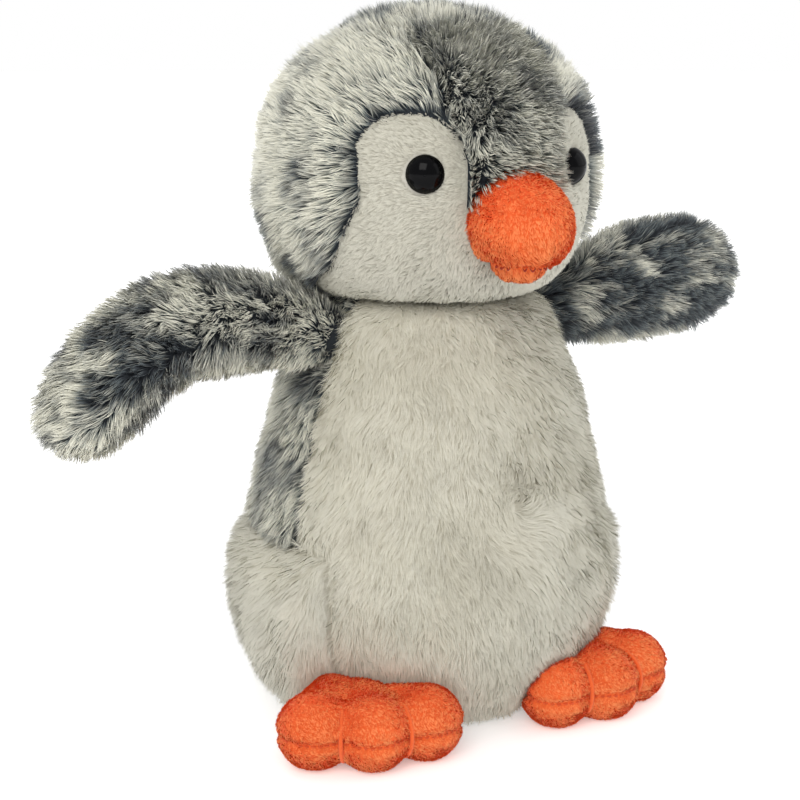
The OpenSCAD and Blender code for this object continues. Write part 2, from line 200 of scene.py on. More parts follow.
def plastic_material(name, low, high, roughness, specular=0.5):
    """Moulded plastic with faint cloudiness and a slightly uneven polish."""
    m, ns, links, shader = base_material(name, roughness, specular=specular)
    where, cloud = ns.new("ShaderNodeTexCoord"), ns.new("ShaderNodeTexNoise")
    cloud.inputs["Scale"].default_value = CLOUD_SCALE
    cloud.inputs["Detail"].default_value = 4
    links.new(where.outputs["Object"], cloud.inputs["Vector"])
    r = ramp(ns, [(NOISE_LOW, low), (NOISE_HIGH, high)])
    links.new(cloud.outputs["Fac"], r.inputs["Fac"])
    links.new(r.outputs["Color"], shader.inputs["Base Color"])
    polish = ns.new("ShaderNodeMapRange")
    polish.inputs["To Min"].default_value = roughness * 0.7
    polish.inputs["To Max"].default_value = roughness * 1.3
    links.new(cloud.outputs["Fac"], polish.inputs["Value"])
    links.new(polish.outputs["Result"], shader.inputs["Roughness"])
    return m


def floor_material():
    """White paper with a light of its own that grows with the distance from the object."""
    m = cloth_material("floor_paper", linear(244, 244, 244), linear(250, 250, 250), 60, 0.9, 0, 0.05)
    ns, links = m.node_tree.nodes, m.node_tree.links
    shader = ns["Principled BSDF"]
    shader.inputs["Emission Color"].default_value = (1, 1, 1, 1)
    spot, reach, fade = (ns.new(f"ShaderNode{kind}") for kind in ("TexCoord", "VectorMath", "MapRange"))
    reach.operation = "LENGTH"
    links.new(spot.outputs["Object"], reach.inputs[0])
    links.new(reach.outputs["Value"], fade.inputs["Value"])
    fade.inputs["From Min"].default_value, fade.inputs["From Max"].default_value = FLOOR_GLOW_REACH
    fade.inputs["To Min"].default_value, fade.inputs["To Max"].default_value = FLOOR_GLOW
    links.new(fade.outputs["Result"], shader.inputs["Emission Strength"])
    return m


NAVY, INK, SLATE = linear(30, 38, 48), linear(16, 20, 26), linear(92, 102, 106)
CREAM, ASH = linear(226, 224, 208), linear(176, 180, 170)
frosted_hair = hair_material(
    "frosted_hair",
    [(0.0, INK), (0.62, NAVY), (0.86, SLATE), (1.0, ASH)],
    [(0.0, NAVY), (0.18, SLATE), (0.38, ASH), (0.62, CREAM), (1.0, linear(240, 239, 224))], sheen=0.4)
# Darker towards the roots: painted shade between the hairs, which cast no shadows.
white_hair = hair_material(
    "white_hair",
    [(0.0, linear(190, 185, 168)), (0.5, linear(202, 198, 182)), (1.0, linear(210, 207, 192))],
    [(0.0, linear(208, 204, 188)), (0.4, linear(217, 214, 200)), (1.0, linear(226, 224, 211))])
# White face hair greyer than the belly's: painted shade of the hood over the face. Darker towards the roots: painted
# shade between the hairs, which cast no shadows.
hood_shaded_face_hair = hair_material(
    "hood_shaded_face_hair",
    [(0.0, linear(168, 164, 150)), (0.5, linear(194, 191, 177)), (1.0, linear(206, 204, 190))],
    [(0.0, linear(184, 181, 167)), (0.5, linear(206, 204, 191)), (1.0, linear(216, 214, 202))])
# Darker towards the roots: painted shade between the hairs, which cast no shadows.
orange_hair = hair_material(
    "orange_hair",
    [(0.0, linear(222, 92, 38)), (0.6, linear(240, 118, 60)), (1.0, linear(246, 138, 80))],
    [(0.0, linear(234, 112, 54)), (0.5, linear(248, 144, 84)), (1.0, linear(252, 166, 110))])
grey_cloth = cloth_material("grey_cloth", linear(24, 28, 34), linear(52, 58, 64))
white_cloth = cloth_material("white_cloth", linear(200, 196, 180), linear(212, 208, 194))
# greyer than the belly's white cloth: painted shade of the hood over the face
hood_shaded_face_cloth = cloth_material("hood_shaded_face_cloth", linear(180, 176, 164), linear(206, 203, 192))
orange_cloth = cloth_material("orange_cloth", linear(214, 84, 34), linear(236, 106, 48))
# white cloth darker than the belly's: painted shade under the head
shaded_neck_cloth = cloth_material("shaded_neck_cloth", linear(160, 156, 142), linear(180, 176, 162), 600, 0.95)
pouch_cloth = cloth_material("pouch_muslin", linear(206, 198, 178), linear(226, 219, 200), 1400, 0.9)
dark_thread = cloth_material("dark_thread", linear(30, 30, 32), linear(56, 56, 58), 2400, 0.7)
orange_thread = cloth_material("orange_thread", linear(214, 84, 32), linear(236, 108, 50), 2400, 0.8)
smile_thread = cloth_material("smile_thread", linear(128, 32, 12), linear(160, 48, 20), 2400, 0.8)
seam_thread = cloth_material("seam_thread", linear(190, 66, 26), linear(222, 92, 40), 2400, 0.8)
eye_plastic = plastic_material("eye_plastic", linear(2, 2, 3), linear(5, 5, 7), 0.12, 0.1)
washer_plastic = plastic_material("washer_plastic", linear(214, 214, 208), linear(230, 230, 226), 0.4)
pellet_plastic = plastic_material("pellet_plastic", linear(216, 218, 214), linear(238, 240, 238), 0.3)


# ---------- mesh helpers ----------

def add_object(name, mesh):
    """A new object in the scene with that mesh."""
    obj = bpy.data.objects.new(name, mesh)
    scene.collection.objects.link(obj)
    return obj


def settle(obj):
    """Turn the object's modifiers into its mesh."""
    mesh = bpy.data.meshes.new_from_object(obj.evaluated_get(bpy.context.evaluated_depsgraph_get()))
    obj.modifiers.clear()
    obj.data = mesh
    mesh.name = obj.name


def points_of(mesh):
    co = np.zeros(len(mesh.vertices) * 3)
    mesh.vertices.foreach_get("co", co)
    return co.reshape(-1, 3)


def normals_of(mesh):
    no = np.zeros(len(mesh.vertices) * 3)
    mesh.vertices.foreach_get("normal", no)
    return no.reshape(-1, 3)


def triangles_of(mesh):
    mesh.calc_loop_triangles()
    tri = np.zeros(len(mesh.loop_triangles) * 3, np.int32)
    mesh.loop_triangles.foreach_get("vertices", tri)
    return tri.reshape(-1, 3)


def unit(v):
    return v / np.maximum(np.linalg.norm(v, axis=-1, keepdims=True), 1e-12)


def smoothstep(a, b, x):
    """0 to 1 as x goes from a to b, with a soft start and end."""
    t = np.clip((x - a) / (b - a), 0, 1)
    return t * t * (3 - 2 * t)


def value_noise(p, size, seed):
    """Smooth noise from 0 to 1 with features of about that size, at points p."""
    q = p / size + seed * 17.13
    cell = np.floor(q)
    f = q - cell
    f = f * f * (3 - 2 * f)
    out = np.zeros(len(p))
    for corner in range(8):
        step = np.array([corner & 1, corner >> 1 & 1, corner >> 2 & 1])
        h = np.sin((cell + step) @ np.array([127.1, 311.7, 74.7]) + seed) * 43758.5453
        out += (h - np.floor(h)) * np.prod(np.where(step, f, 1 - f), axis=1)
    return out


def wander(p, size, seed):
    """The same noise about 0, from -0.5 to 0.5, with the size of its features in mm."""
    return value_noise(p, size * MM, SEED[seed]) - 0.5


def tree_of(names):
    """One search tree over the faces of the given CAD nodes."""
    verts, faces = [], []
    for n in names:
        mesh = nodes[n].data
        faces += (triangles_of(mesh) + len(verts)).tolist()
        verts += points_of(mesh).tolist()
    return BVHTree.FromPolygons(verts, faces)


def voxel_skin(name, names, size, smooth):
    """One closed, evenly divided skin round the given CAD nodes."""
    bm = bmesh.new()
    for n in names:
        bm.from_mesh(nodes[n].data)
    mesh = bpy.data.meshes.new(name)
    bm.to_mesh(mesh)
    bm.free()
    obj = add_object(name, mesh)
    remesh = obj.modifiers.new("voxels", "REMESH")
    remesh.mode, remesh.voxel_size = "VOXEL", size
    settle(obj)
    keep_outside(obj.data)
    if smooth:
        soft = obj.modifiers.new("soften", "SMOOTH")
        soft.factor, soft.iterations = 0.5, smooth
        settle(obj)
    return obj


def keep_outside(mesh):
    """Drop the small closed surfaces inside the outer one."""
    bm = bmesh.new()
    bm.from_mesh(mesh)
    left, best = set(bm.verts), set()
    while left:
        seed = left.pop()
        island, edge = {seed}, [seed]
        while edge:
            for e in edge.pop().link_edges:
                for v in e.verts:
                    if v not in island:
                        island.add(v)
                        edge.append(v)
        left -= island
        if len(island) > len(best):
            best = island
    bmesh.ops.delete(bm, geom=[v for v in bm.verts if v not in best], context="VERTS")
    bm.to_mesh(mesh)
    bm.free()


CLOTH_QUALITY = 5
SEAM_SWELL, SEAM_EASE = 0.35, 9  # share of the swelling left at a seam, and mm beside it until all of it
CLEAR_LOW, CLEAR_HIGH = 2, 8  # mm from another body over which extra swelling grows from nothing to all
FLOOR_GAP = 0.6  # mm that swelling leaves under a point
PUCKER_SIZE, PUCKER_SHARE = 2.4, 0.7  # mm between puckers beside a seam, and their depth as a share of the dip's


class Skin:
    """A body's fabric, and for each of its points how far each sewn panel and the other bodies are."""

    def __init__(self, name, body, regions, inner, others, voxel, smooth=4):
        self.name, self.body, self.regions = name, body, regions
        self.names = [n for group in regions.values() for n in group] + inner
        self.others = tree_of(others)
        self.trees = {r: tree_of(g) for r, g in regions.items()}
        self.obj = voxel_skin(name, self.names, voxel * MM, smooth)
        self.rest = points_of(self.obj.data)

    def start_puff(self, pressure):
        """Set the fabric up as cloth that is blown out from inside."""
        cloth = self.obj.modifiers.new("stuffing", "CLOTH")
        cloth.settings.use_pressure = True
        cloth.settings.uniform_pressure_force = pressure
        cloth.settings.effector_weights.gravity = 0
        cloth.settings.quality = CLOTH_QUALITY

    def end_puff(self, cap, swell, rise, groove, wide, margin=1.2):
        """Keep the simulated swelling up to a cap, less beside seams and where another body is near.

        swell is how far some regions stand out more, reached at a distance rise from their seams; groove and wide
        are the depth and half width of the dip that the seams pull in. Within margin of another body nothing swells.
        """
        settle(self.obj)
        moved = points_of(self.obj.data) - self.rest
        self.measure(self.rest)
        size = np.linalg.norm(moved, axis=1)
        room = np.minimum(cap * MM, np.maximum(self.clear - margin * MM, 0) * 0.5)
        room *= SEAM_SWELL + (1 - SEAM_SWELL) * smoothstep(0, SEAM_EASE * MM, self.seam)
        moved *= (np.minimum(size, room) / np.maximum(size, 1e-9))[:, None]
        extra = np.array([swell.get(r, 0) for r in self.regions])[self.label] * MM
        extra *= smoothstep(0, rise * MM, self.seam) * smoothstep(CLEAR_LOW * MM, CLEAR_HIGH * MM, self.clear)
        co = self.rest + moved + normals_of(self.obj.data) * extra[:, None]
        co[:, 2] = np.maximum(co[:, 2], np.minimum(self.rest[:, 2], FLOOR_GAP * MM))
        self.obj.data.vertices.foreach_set("co", co.ravel())
        finer = self.obj.modifiers.new("finer", "SUBSURF")
        finer.levels = finer.render_levels = 1
        settle(self.obj)
        self.measure(points_of(self.obj.data))
        dip = np.exp(-(self.seam / (wide * MM)) ** 2) * smoothstep(0, CLEAR_LOW * MM, self.clear)
        pucker = np.exp(-(self.seam / (3 * wide * MM)) ** 2) * wander(self.co, PUCKER_SIZE, "pucker") * PUCKER_SHARE
        self.co = self.co - normals_of(self.obj.data) * ((dip + pucker) * groove * MM)[:, None]
        self.obj.data.vertices.foreach_set("co", self.co.ravel())
        self.obj.data.update()
        self.obj.data.polygons.foreach_set("use_smooth", np.ones(len(self.obj.data.polygons), bool))

    def measure(self, co):
        """For points co: the distances to the panels, the nearest panel, the seam and the way from it, and the gap."""
        self.co = co
        near = [[t.find_nearest(c) for c in co.tolist()] for t in self.trees.values()]
        self.far = np.array([[hit[3] for hit in row] for row in near]).T
        order = np.argsort(self.far, axis=1)
        rows = np.arange(len(co))
        self.seam = self.far[rows, order[:, 1]] - self.far[rows, order[:, 0]]
        spot = np.array([[hit[0] for hit in row] for row in near]).transpose(1, 0, 2)
        self.away = unit(co - spot[rows, order[:, 1]])
        self.label = order[:, 0]
        self.clear = np.array([self.others.find_nearest(c)[3] for c in co.tolist()])

    def dress(self, slots):
        """One material slot per region, by the panel each face lies on, and what this skin stands for."""
        mesh = self.obj.data
        mesh.materials.clear()
        for r in self.regions:
            mesh.materials.append(slots[r])
        corner = [p.vertices[0] for p in mesh.polygons]
        mesh.polygons.foreach_set("material_index", self.label[corner].astype(np.int32))
        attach(self.obj, self.body)
        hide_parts(*self.names)


# ---------- hair ----------

ROWS = np.array([0, 0.36, 0.72, 1])  # places along a hair
SLIM = (1, 0.95, 0.66)  # its width at all of them but the last, where it ends in a point
VERTS, CORNERS, FACES = 7, 11, 3  # of one ribbon
MOST_HAIRS = 38000  # in one piece
CURL = 0.5  # how much of its lean a hair gains from root to tip
LEAST_TILT, MOST_TILT = 0.05, 1.45  # in radians from upright
TURN_SIZE, TURN_WANDER, TURN_SPREAD = 6, 1.6, 0.22  # the lie's swing aside: its size in mm, slowly and hair by hair
LEAN_SIZE, LEAN_WANDER = 8, 24  # the lean's slow swing: its size in mm, and degrees
LENGTH_SIZE, LENGTH_WANDER = 7, 0.3  # the length's slow change: its size in mm, and its share of the length
LENGTH_LEAST, LENGTH_SPREAD = 0.72, 0.4  # the shortest hair and the range above it, as shares of the length
CROWDED, SHORTEST = 1.3, 1.5  # most length beside another body, in gaps to it, and the mm a hair may always have
HAIR_FLOOR = 0.3  # mm that hair stays above the floor
GRIP_POWER = 1.6  # how far up a tuft its hairs begin to draw together
GRIP_LEAST = 0.6  # the weakest hair's share of a tuft's pull
WIDTH_LEAST, WIDTH_SPREAD = 0.75, 0.5  # the thinnest hair and the range above it, as shares of the width
ROLL = 0.5  # how much a ribbon may be rolled about its own length
TONE_EDGE = 0.08  # softness of a blot's outline, in tone noise
TONE_MARGIN = 0.02  # kept between a UV value and the ends of its range


def scatter(skin, index, density, keep_clear, bald):
    """Random roots over one region of a skin, as a function that gives a per-point field's value at each root."""
    tri = triangles_of(skin.obj.data)
    a, b, c = (skin.co[tri[:, k]] for k in range(3))
    area = np.linalg.norm(np.cross(b - a, c - a), axis=1) / 2
    area = np.where((skin.label[tri] == index).any(axis=1), area, 0)
    count = int(area.sum() / MM ** 2 * density)
    pick = np.searchsorted(np.cumsum(area), rng.random(count) * area.sum())
    r1, r2 = np.sqrt(rng.random(count)), rng.random(count)
    share = np.stack([1 - r1, r1 * (1 - r2), r1 * r2], axis=1)
    corner = tri[pick]

    def spread(field):
        return np.einsum("ij,ij...->i...", share, field[corner])

    keep = (spread(skin.far).argmin(axis=1) == index) & (spread(skin.clear) > keep_clear * MM)
    if bald:
        keep &= ~bald(spread(skin.co))
    share, corner = share[keep], corner[keep]
    return spread


def lay(root, normal, way, tilt, long):
    """Points along each hair, which leans over more towards its tip."""
    path = np.zeros((len(root), len(ROWS), 3))
    for k in range(1, len(ROWS)):
        angle = tilt * (1 - CURL / 2 + CURL * (ROWS[k] + ROWS[k - 1]) / 2)
        lie = normal * np.cos(angle)[:, None] + way * np.sin(angle)[:, None]
        path[:, k] = path[:, k - 1] + lie * (long * (ROWS[k] - ROWS[k - 1]))[:, None]
    return root[:, None] + path


def draw_tufts(path, root, density, size, pull):
    """Draw the hairs' tips together round a leading hair per tuft, and give each hair its tuft's random value."""
    n = len(root)
    centres = rng.choice(n, max(1, int(n / (density * size * size))), replace=False)
    kd = KDTree(len(centres))
    for i, at in enumerate(root[centres].tolist()):
        kd.insert(at, i)
    kd.balance()
    number = np.fromiter((kd.find(at)[1] for at in root.tolist()), int, n)
    grip = (pull * ROWS ** GRIP_POWER)[None, :, None] * (GRIP_LEAST + (1 - GRIP_LEAST) * rng.random(n))[:, None, None]
    path += (path[centres[number]] - path) * grip
    return rng.random(len(centres))[number]


def ribbons(path, normal, long, width, own_side):
    """A tapered ribbon along each path, lying flat on the fur and facing out, and its own shading normal."""
    n = len(path)
    chord = path[:, -1] - path[:, 0]
    along = unit(chord)
    across = np.cross(chord, normal) + rng.normal(0, ROLL, (n, 3)) * long[:, None]
    across = unit(across - along * (across * along).sum(1, keepdims=True))
    facing = unit(np.cross(across, chord))
    outward_side = np.where((facing * normal).sum(1, keepdims=True) < 0, -1, 1)
    across, facing = across * outward_side, facing * outward_side
    half = width * MM / 2 * (WIDTH_LEAST + WIDTH_SPREAD * rng.random(n))
    verts = np.zeros((n, VERTS, 3))
    for k, slim in enumerate(SLIM):
        side = across * (half * slim)[:, None]
        verts[:, 2 * k], verts[:, 2 * k + 1] = path[:, k] - side, path[:, k] + side
    verts[:, -1] = path[:, -1]
    return verts, unit(normal + facing * own_side)


def hair_mesh(name, verts, shade, normals):
    """Ribbons of two quads and a triangle each, with tone and height in the UV layer and their own normals."""
    n = len(verts)
    loops = np.array([0, 1, 3, 2, 2, 3, 5, 4, 4, 5, 6])
    starts = np.array([0, 4, 8])
    mesh = bpy.data.meshes.new(name)
    mesh.vertices.add(n * VERTS)
    mesh.vertices.foreach_set("co", verts.astype(np.float32).ravel())
    mesh.loops.add(n * CORNERS)
    mesh.loops.foreach_set("vertex_index", (loops + np.arange(n)[:, None] * VERTS).astype(np.int32).ravel())
    mesh.polygons.add(n * FACES)
    mesh.polygons.foreach_set("loop_start", (starts + np.arange(n)[:, None] * CORNERS).astype(np.int32).ravel())
    mesh.update(calc_edges=True)
    uv = mesh.uv_layers.new(name=UV)
    height = np.clip(np.repeat(ROWS, [2, 2, 2, 1])[loops], TONE_MARGIN, 1 - TONE_MARGIN)
    both = np.stack([np.repeat(shade, CORNERS), np.tile(height, n)], axis=1)
    uv.data.foreach_set("uv", both.astype(np.float32).ravel())
    mesh.polygons.foreach_set("use_smooth", np.ones(n * FACES, bool))
    mesh.normals_split_custom_set_from_vertices(np.repeat(normals, VERTS, axis=0).astype(np.float32))
    return mesh


def grow(name, skin, region, material, slot, comb, density, length, width, lean, tone, lean_spread=12,
         clump=3.2, pull=0.45, tone_patch=0.0, patch=9, tone_clump=0.25, tone_hair=0.3, edge=2.5, seam_shade=0.6,
         edge_short=0.45, edge_part=0.8, edge_lean=None, keep_clear=1.5, own_side=0.4, casts=True, bald=None,
         blot=0.0, blot_size=12, blot_share=0.36, rise=None, streak=None):
    """Hair rooted all over one region of a skin, as tapered ribbons in tufts.

    comb gives each root's direction of lie, bald the roots that bear no hair, rise how far a hair is set more
    upright, and streak what is added to its tone. density is in hairs per square mm, lengths, widths and sizes in
    mm, lean in degrees from upright, and tone 0 is a dark hair and 1 a light one. The tone values set how far it
    varies by patch, tuft and hair. The edge values set what the hair does beside a seam: shorter, turned away
    from it, with a lean of its own, and darker, which is painted shade in the seam's crease; a negative value
    paints it paler instead. blot is how dark the blots are, and blot_share how much they cover.
    keep_clear is how near another body may be, own_side how far a ribbon's own side shows in its shading.
    """
    spread = scatter(skin, list(skin.regions).index(region), density, keep_clear, bald)
    root, clear, far = spread(skin.co), spread(skin.clear), np.sort(spread(skin.far), axis=1)
    seam = (far[:, 1] - far[:, 0]) / MM
    away = unit(spread(skin.away))
    normal = unit(spread(normals_of(skin.obj.data)))
    n = len(root)

    def flat(v):
        return unit(v - normal * (v * normal).sum(1, keepdims=True))

    near_seam = 1 - smoothstep(0, edge, seam)
    way = flat(comb(root, normal) + away * (near_seam * edge_part * 2)[:, None])
    turn = wander(root, TURN_SIZE, "turn") * TURN_WANDER + rng.normal(0, TURN_SPREAD, n)
    way = flat(way + flat(np.cross(normal, way)) * turn[:, None])
    tilt = np.radians(lean + rng.normal(0, lean_spread, n) + wander(root, LEAN_SIZE, "lean") * LEAN_WANDER)
    if edge_lean is not None:
        tilt += (math.radians(edge_lean) - tilt) * near_seam
    if rise:
        tilt *= 1 - rise(root)
    tilt = np.clip(tilt, LEAST_TILT, MOST_TILT)
    long = length * MM * (LENGTH_LEAST + LENGTH_SPREAD * rng.random(n))
    long *= (1 + LENGTH_WANDER * wander(root, LENGTH_SIZE, "length")) * (1 - edge_short * near_seam)
    long = np.minimum(long, np.maximum(clear * CROWDED, SHORTEST * MM))
    path = lay(root, normal, way, tilt, long)
    tuft = draw_tufts(path, root, density, clump, pull) if clump else rng.random(n)
    path[:, :, 2] = np.maximum(path[:, :, 2], HAIR_FLOOR * MM)

    shade = tone + (tuft - 0.5) * tone_clump * 2 + (rng.random(n) - 0.5) * tone_hair * 2
    shade += wander(root, patch, "patch") * tone_patch * 2
    blots = value_noise(root, blot_size * MM, SEED["blot"])
    shade -= blot * smoothstep(blot_share + TONE_EDGE, blot_share - TONE_EDGE, blots)
    if streak:
        shade += streak(root)
    # painted shade: hair is darker along its seams, where the crease shades it (paler where the value is negative)
    shade -= seam_shade * (1 - smoothstep(0, edge * 0.8, seam))
    shade = np.clip(shade, TONE_MARGIN, 1 - TONE_MARGIN)

    verts, own = ribbons(path, normal, long, width, own_side)
    parts = np.array_split(np.argsort(root[:, 0]), -(-n // MOST_HAIRS))
    for i, part in enumerate(parts):
        piece = name if len(parts) == 1 else f"{name}_{i + 1}"
        obj = add_object(piece, hair_mesh(piece, verts[part], shade[part], own[part]))
        obj.data.materials.append(material)
        obj.visible_shadow = casts
        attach(obj, skin.body)


# ---------- fabric skins ----------

PRESSURE, FRAMES = 4, 20
NECK_VOXEL, NECK_SMOOTH = 2.5, 2
bodies = frame["record"]["behaviour"]["bodies"]


def all_but(*names):
    """The nodes of all bodies but the named ones, less what is inside a skin."""
    return [n for b, group in bodies.items() if b not in names for n in group
            if n not in ("pellets", "pellet_pouch", "torso_stuffing", "head_stuffing")]


torso = Skin("torso_skin", "torso",
             {"belly": ["belly_panel"], "back": ["back_panel_left", "back_panel_right"],
              "thigh": ["thigh_panel_left", "thigh_panel_right"], "base": ["base_panel"]},
             ["torso_stuffing"], all_but("torso"), 3.6)
head = Skin("head_skin", "head",
            {"face": ["face_panel"], "crown": ["crown_panel"], "side": ["cap_side_left", "cap_side_right"]},
            ["head_stuffing"], all_but("head"), 3.0)
beak = Skin("beak_skin", "head", {"upper": ["beak_upper"], "lower": ["beak_lower"]},
            ["beak_stuffing"], all_but("head"), 1.9, 2)
wings, feet = {}, {}
for side, above, below in (("left", "front", "back"), ("right", "top", "under")):
    w = f"wing_{side}"
    wings[side] = Skin(f"{w}_skin", w, {above: [f"{w}_{above}"], below: [f"{w}_{below}"]},
                       [f"{w}_stuffing"], all_but(w), 2.6, 3)
    f = f"foot_{side}"
    feet[side] = Skin(f"{f}_skin", f, {"top": [f"{f}_top"], "sole": [f"{f}_sole"]},
                      [f"{f}_stuffing"], all_but(f), 1.8, 1)
for s in (torso, head, beak, *wings.values(), *feet.values()):
    s.start_puff(PRESSURE)
for t in range(1, FRAMES + 1):
    scene.frame_set(t)
torso.end_puff(2.5, {"thigh": 4.5}, 14, 1.2, 2.5, margin=4)
head.end_puff(1.6, {"crown": 2.0, "side": 1.4}, 3.5, 0.8, 2)
beak.end_puff(0.9, {"lower": 2.2}, 3, 1.3, 1.1)
for side in ("left", "right"):
    wings[side].end_puff(1.6, {}, 1, 0.8, 2)
    feet[side].end_puff(0.9, {}, 1, 1.1, 1.3, margin=4)
scene.frame_set(1)

torso.dress({"belly": white_cloth, "back": grey_cloth, "thigh": white_cloth, "base": grey_cloth})
head.dress({"face": hood_shaded_face_cloth, "crown": grey_cloth, "side": grey_cloth})
beak.dress({"upper": orange_cloth, "lower": orange_cloth})
for side in ("left", "right"):
    wings[side].dress(dict.fromkeys(wings[side].regions, grey_cloth))
    feet[side].dress(dict.fromkeys(feet[side].regions, orange_cloth))

neck = voxel_skin("neck_pad", ["neck_stuffing"], NECK_VOXEL * MM, NECK_SMOOTH)
neck.data.materials.clear()
neck.data.materials.append(shaded_neck_cloth)
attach(neck, "neck")
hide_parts("neck_stuffing")


# ---------- fur ----------

face_lo, face_hi = (np.array(v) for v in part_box("face_panel"))
face_mid = np.array([0, face_lo[1], (face_lo[2] + face_hi[2]) / 2])
belly_lo, belly_hi = (np.array(v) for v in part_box("belly_panel"))
beak_lo, beak_hi = (np.array(v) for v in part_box("beak_upper"))
beak_root = np.array([0, beak_hi[1], (beak_lo[2] + beak_hi[2]) / 2])


def in_beak(root, radius=13):
    """Roots that the beak covers, or the peak where it runs in under the beak."""
    return (np.hypot(root[:, 0], root[:, 2] - beak_root[2]) < radius * MM) & (root[:, 1] < 0)


def in_peak_beak(root):
    return in_beak(root, 10)


eye_tree = tree_of(["eye_left", "eye_right"])


def in_face_part(root):
    """Roots that the beak or an eye covers."""
    return in_beak(root) | np.array([eye_tree.find_nearest(p)[3] < 0.8 * MM for p in root.tolist()])


def down(root, normal):
    return np.tile([0.0, 0.1, -1.0], (len(root), 1))


def off_face(root, normal):
    """Away from the middle of the face, then down behind the cheeks."""
    out = unit(root - face_mid)
    low = smoothstep(0.0, 0.05, face_hi[2] - root[:, 2])
    return out + np.stack([0 * low, 0.3 + 0 * low, -0.9 * low], axis=1)


def peak_share(root):
    """How far each root lies down the peak that the crown makes between the eyes, from 0 to 1."""
    return smoothstep(beak_hi[2] + 10 * MM, beak_hi[2] + 1 * MM, root[:, 2]) * (root[:, 1] < 0)


def over_beak(root):
    """The peak's hair is set more upright, so that it shows over the beak."""
    return 0.7 * peak_share(root)


def pale_peak(root):
    """And it is paler."""
    return 0.5 * peak_share(root)


def over_crown(root, normal):
    """Down the forehead towards the beak in front, and back over the head behind."""
    front = smoothstep(-6 * MM, -30 * MM, root[:, 1])[:, None]
    return off_face(root, normal) * (1 - front) + np.array([0, -0.3, -1.0]) * front


def forward(root, normal):
    """Towards the toes."""
    return np.tile([0.0, -1.0, -0.3], (len(root), 1))


def belly_swirl(root, normal):
    """Down, with a whorl in the middle of the belly."""
    middle = np.array([0, belly_lo[1], 0.55 * belly_hi[2]])
    out = root - middle
    near = np.exp(-(out ** 2).sum(1) / (0.02 ** 2))[:, None]
    return np.array([0.0, 0.0, -1.0]) * (1 - 0.5 * near) + unit(np.cross([0.0, -1.0, 0.0], out)) * near


def off_beak(root, normal):
    """Away from the middle of the beak's root, and a little down."""
    out = unit(root - beak_root)
    return out + np.array([0, 0, -0.35])


def outward(root, normal):
    """Along a wing to its tip."""
    side = np.sign(root[:, :1])
    return np.concatenate([side, 0 * side, -0.25 + 0 * side], axis=1)


def along_wing(root):
    """Streaks that run out along a wing, dark and light by turns."""
    return wander(root * np.array([0.16, 1, 1]), 3.2, "streak") * 1.5


frost = dict(material=frosted_hair, slot="frosted_fur", width=0.27, pull=0.6)
soft = dict(material=white_hair, slot="white_fur", tone_clump=0.1, tone_hair=0.1, own_side=0.06, casts=False,
            width=0.25, pull=0.3)
minky = dict(material=orange_hair, slot="orange_plush", tone_clump=0.12, tone_hair=0.2, own_side=0.1, casts=False)
grow("back_fur", torso, "back", comb=down, density=3.1, length=8.0, lean=56, lean_spread=9, tone=0.9, tone_patch=0.3,
     tone_clump=0.15, tone_hair=0.25, clump=2.2, seam_shade=0.15, blot=0.55, blot_size=13, blot_share=0.3, **frost)
grow("base_fur", torso, "base", comb=down, density=1.2, length=3, lean=80, clump=0, tone=0.4, keep_clear=0, **frost)
grow("belly_fur", torso, "belly", comb=belly_swirl, density=4.2, length=6.5, lean=54, tone=0.5,
     tone_patch=0.5, patch=16, seam_shade=0.2, **soft)
grow("thigh_fur", torso, "thigh", comb=down, density=4.2, length=8.0, lean=42, tone=0.85, seam_shade=0.1,
     edge_short=0.2, **soft)
# The crown and side hair is darker along the face's seam: a painted shadow of the hood standing over the face.
grow("crown_fur", head, "crown", comb=over_crown, density=4.4, length=7.5, lean=24, lean_spread=16, tone=0.86,
     tone_patch=0.35, tone_hair=0.45, tone_clump=0.15, clump=1.7, edge=3, edge_short=0, edge_lean=26,
     seam_shade=0.3, edge_part=0.4, bald=in_peak_beak, blot=0.55, blot_size=13, blot_share=0.36, rise=over_beak,
     streak=pale_peak, **frost)
grow("side_fur", head, "side", comb=off_face, density=3.4, length=7.6, lean=48, tone=0.95, tone_patch=0.5, clump=2.2,
     edge=3, edge_short=0, edge_lean=28, seam_shade=0.45, patch=12, blot=0.85, blot_size=12, blot_share=0.38, **frost)
grow("face_pile", head, "face", material=hood_shaded_face_hair, slot="face_plush", comb=off_beak, density=7, length=2.6,
     width=0.24, lean=62, clump=1.6, tone=0.5, tone_patch=0.2, tone_clump=0.1, tone_hair=0.15,
     edge=1.5, seam_shade=0.2, keep_clear=0.8, own_side=0.15, casts=False, bald=in_face_part)
for r in ("upper", "lower"):
    grow(f"beak_{r}_pile", beak, r, comb=off_beak, density=9, length=1.5, width=0.22, lean=48, clump=1.3,
         tone=0.5, tone_patch=0.25, edge=1.4, seam_shade=0.5, edge_short=0.7, keep_clear=0.2, **minky)
# The left wing's hair is set darker than the right's: painted shade on the side away from the key light.
wing_tone_and_shade = {"left": 0.45, "right": 0.92}
for side, w in wings.items():
    for r in w.regions:
        grow(f"wing_{side}_{r}_fur", w, r, comb=outward, density=3.8, length=7.5, lean=46, tone=wing_tone_and_shade[side],
             tone_patch=0.3, tone_clump=0.3, edge=8, seam_shade=-0.5, edge_short=0, edge_part=-0.5, clump=2.2,
             streak=along_wing, blot=0.7, blot_size=12, blot_share=0.5, **frost)
for side, f in feet.items():
    for r in f.regions:
        grow(f"foot_{side}_{r}_pile", f, r, comb=forward, density=8, length=1.1, width=0.2, lean=50, clump=1.2,
             tone=0.85, tone_patch=0.25, edge=1.6, seam_shade=0.6, edge_short=0.6, keep_clear=1.6, **minky)


# ---------- seam threads ----------

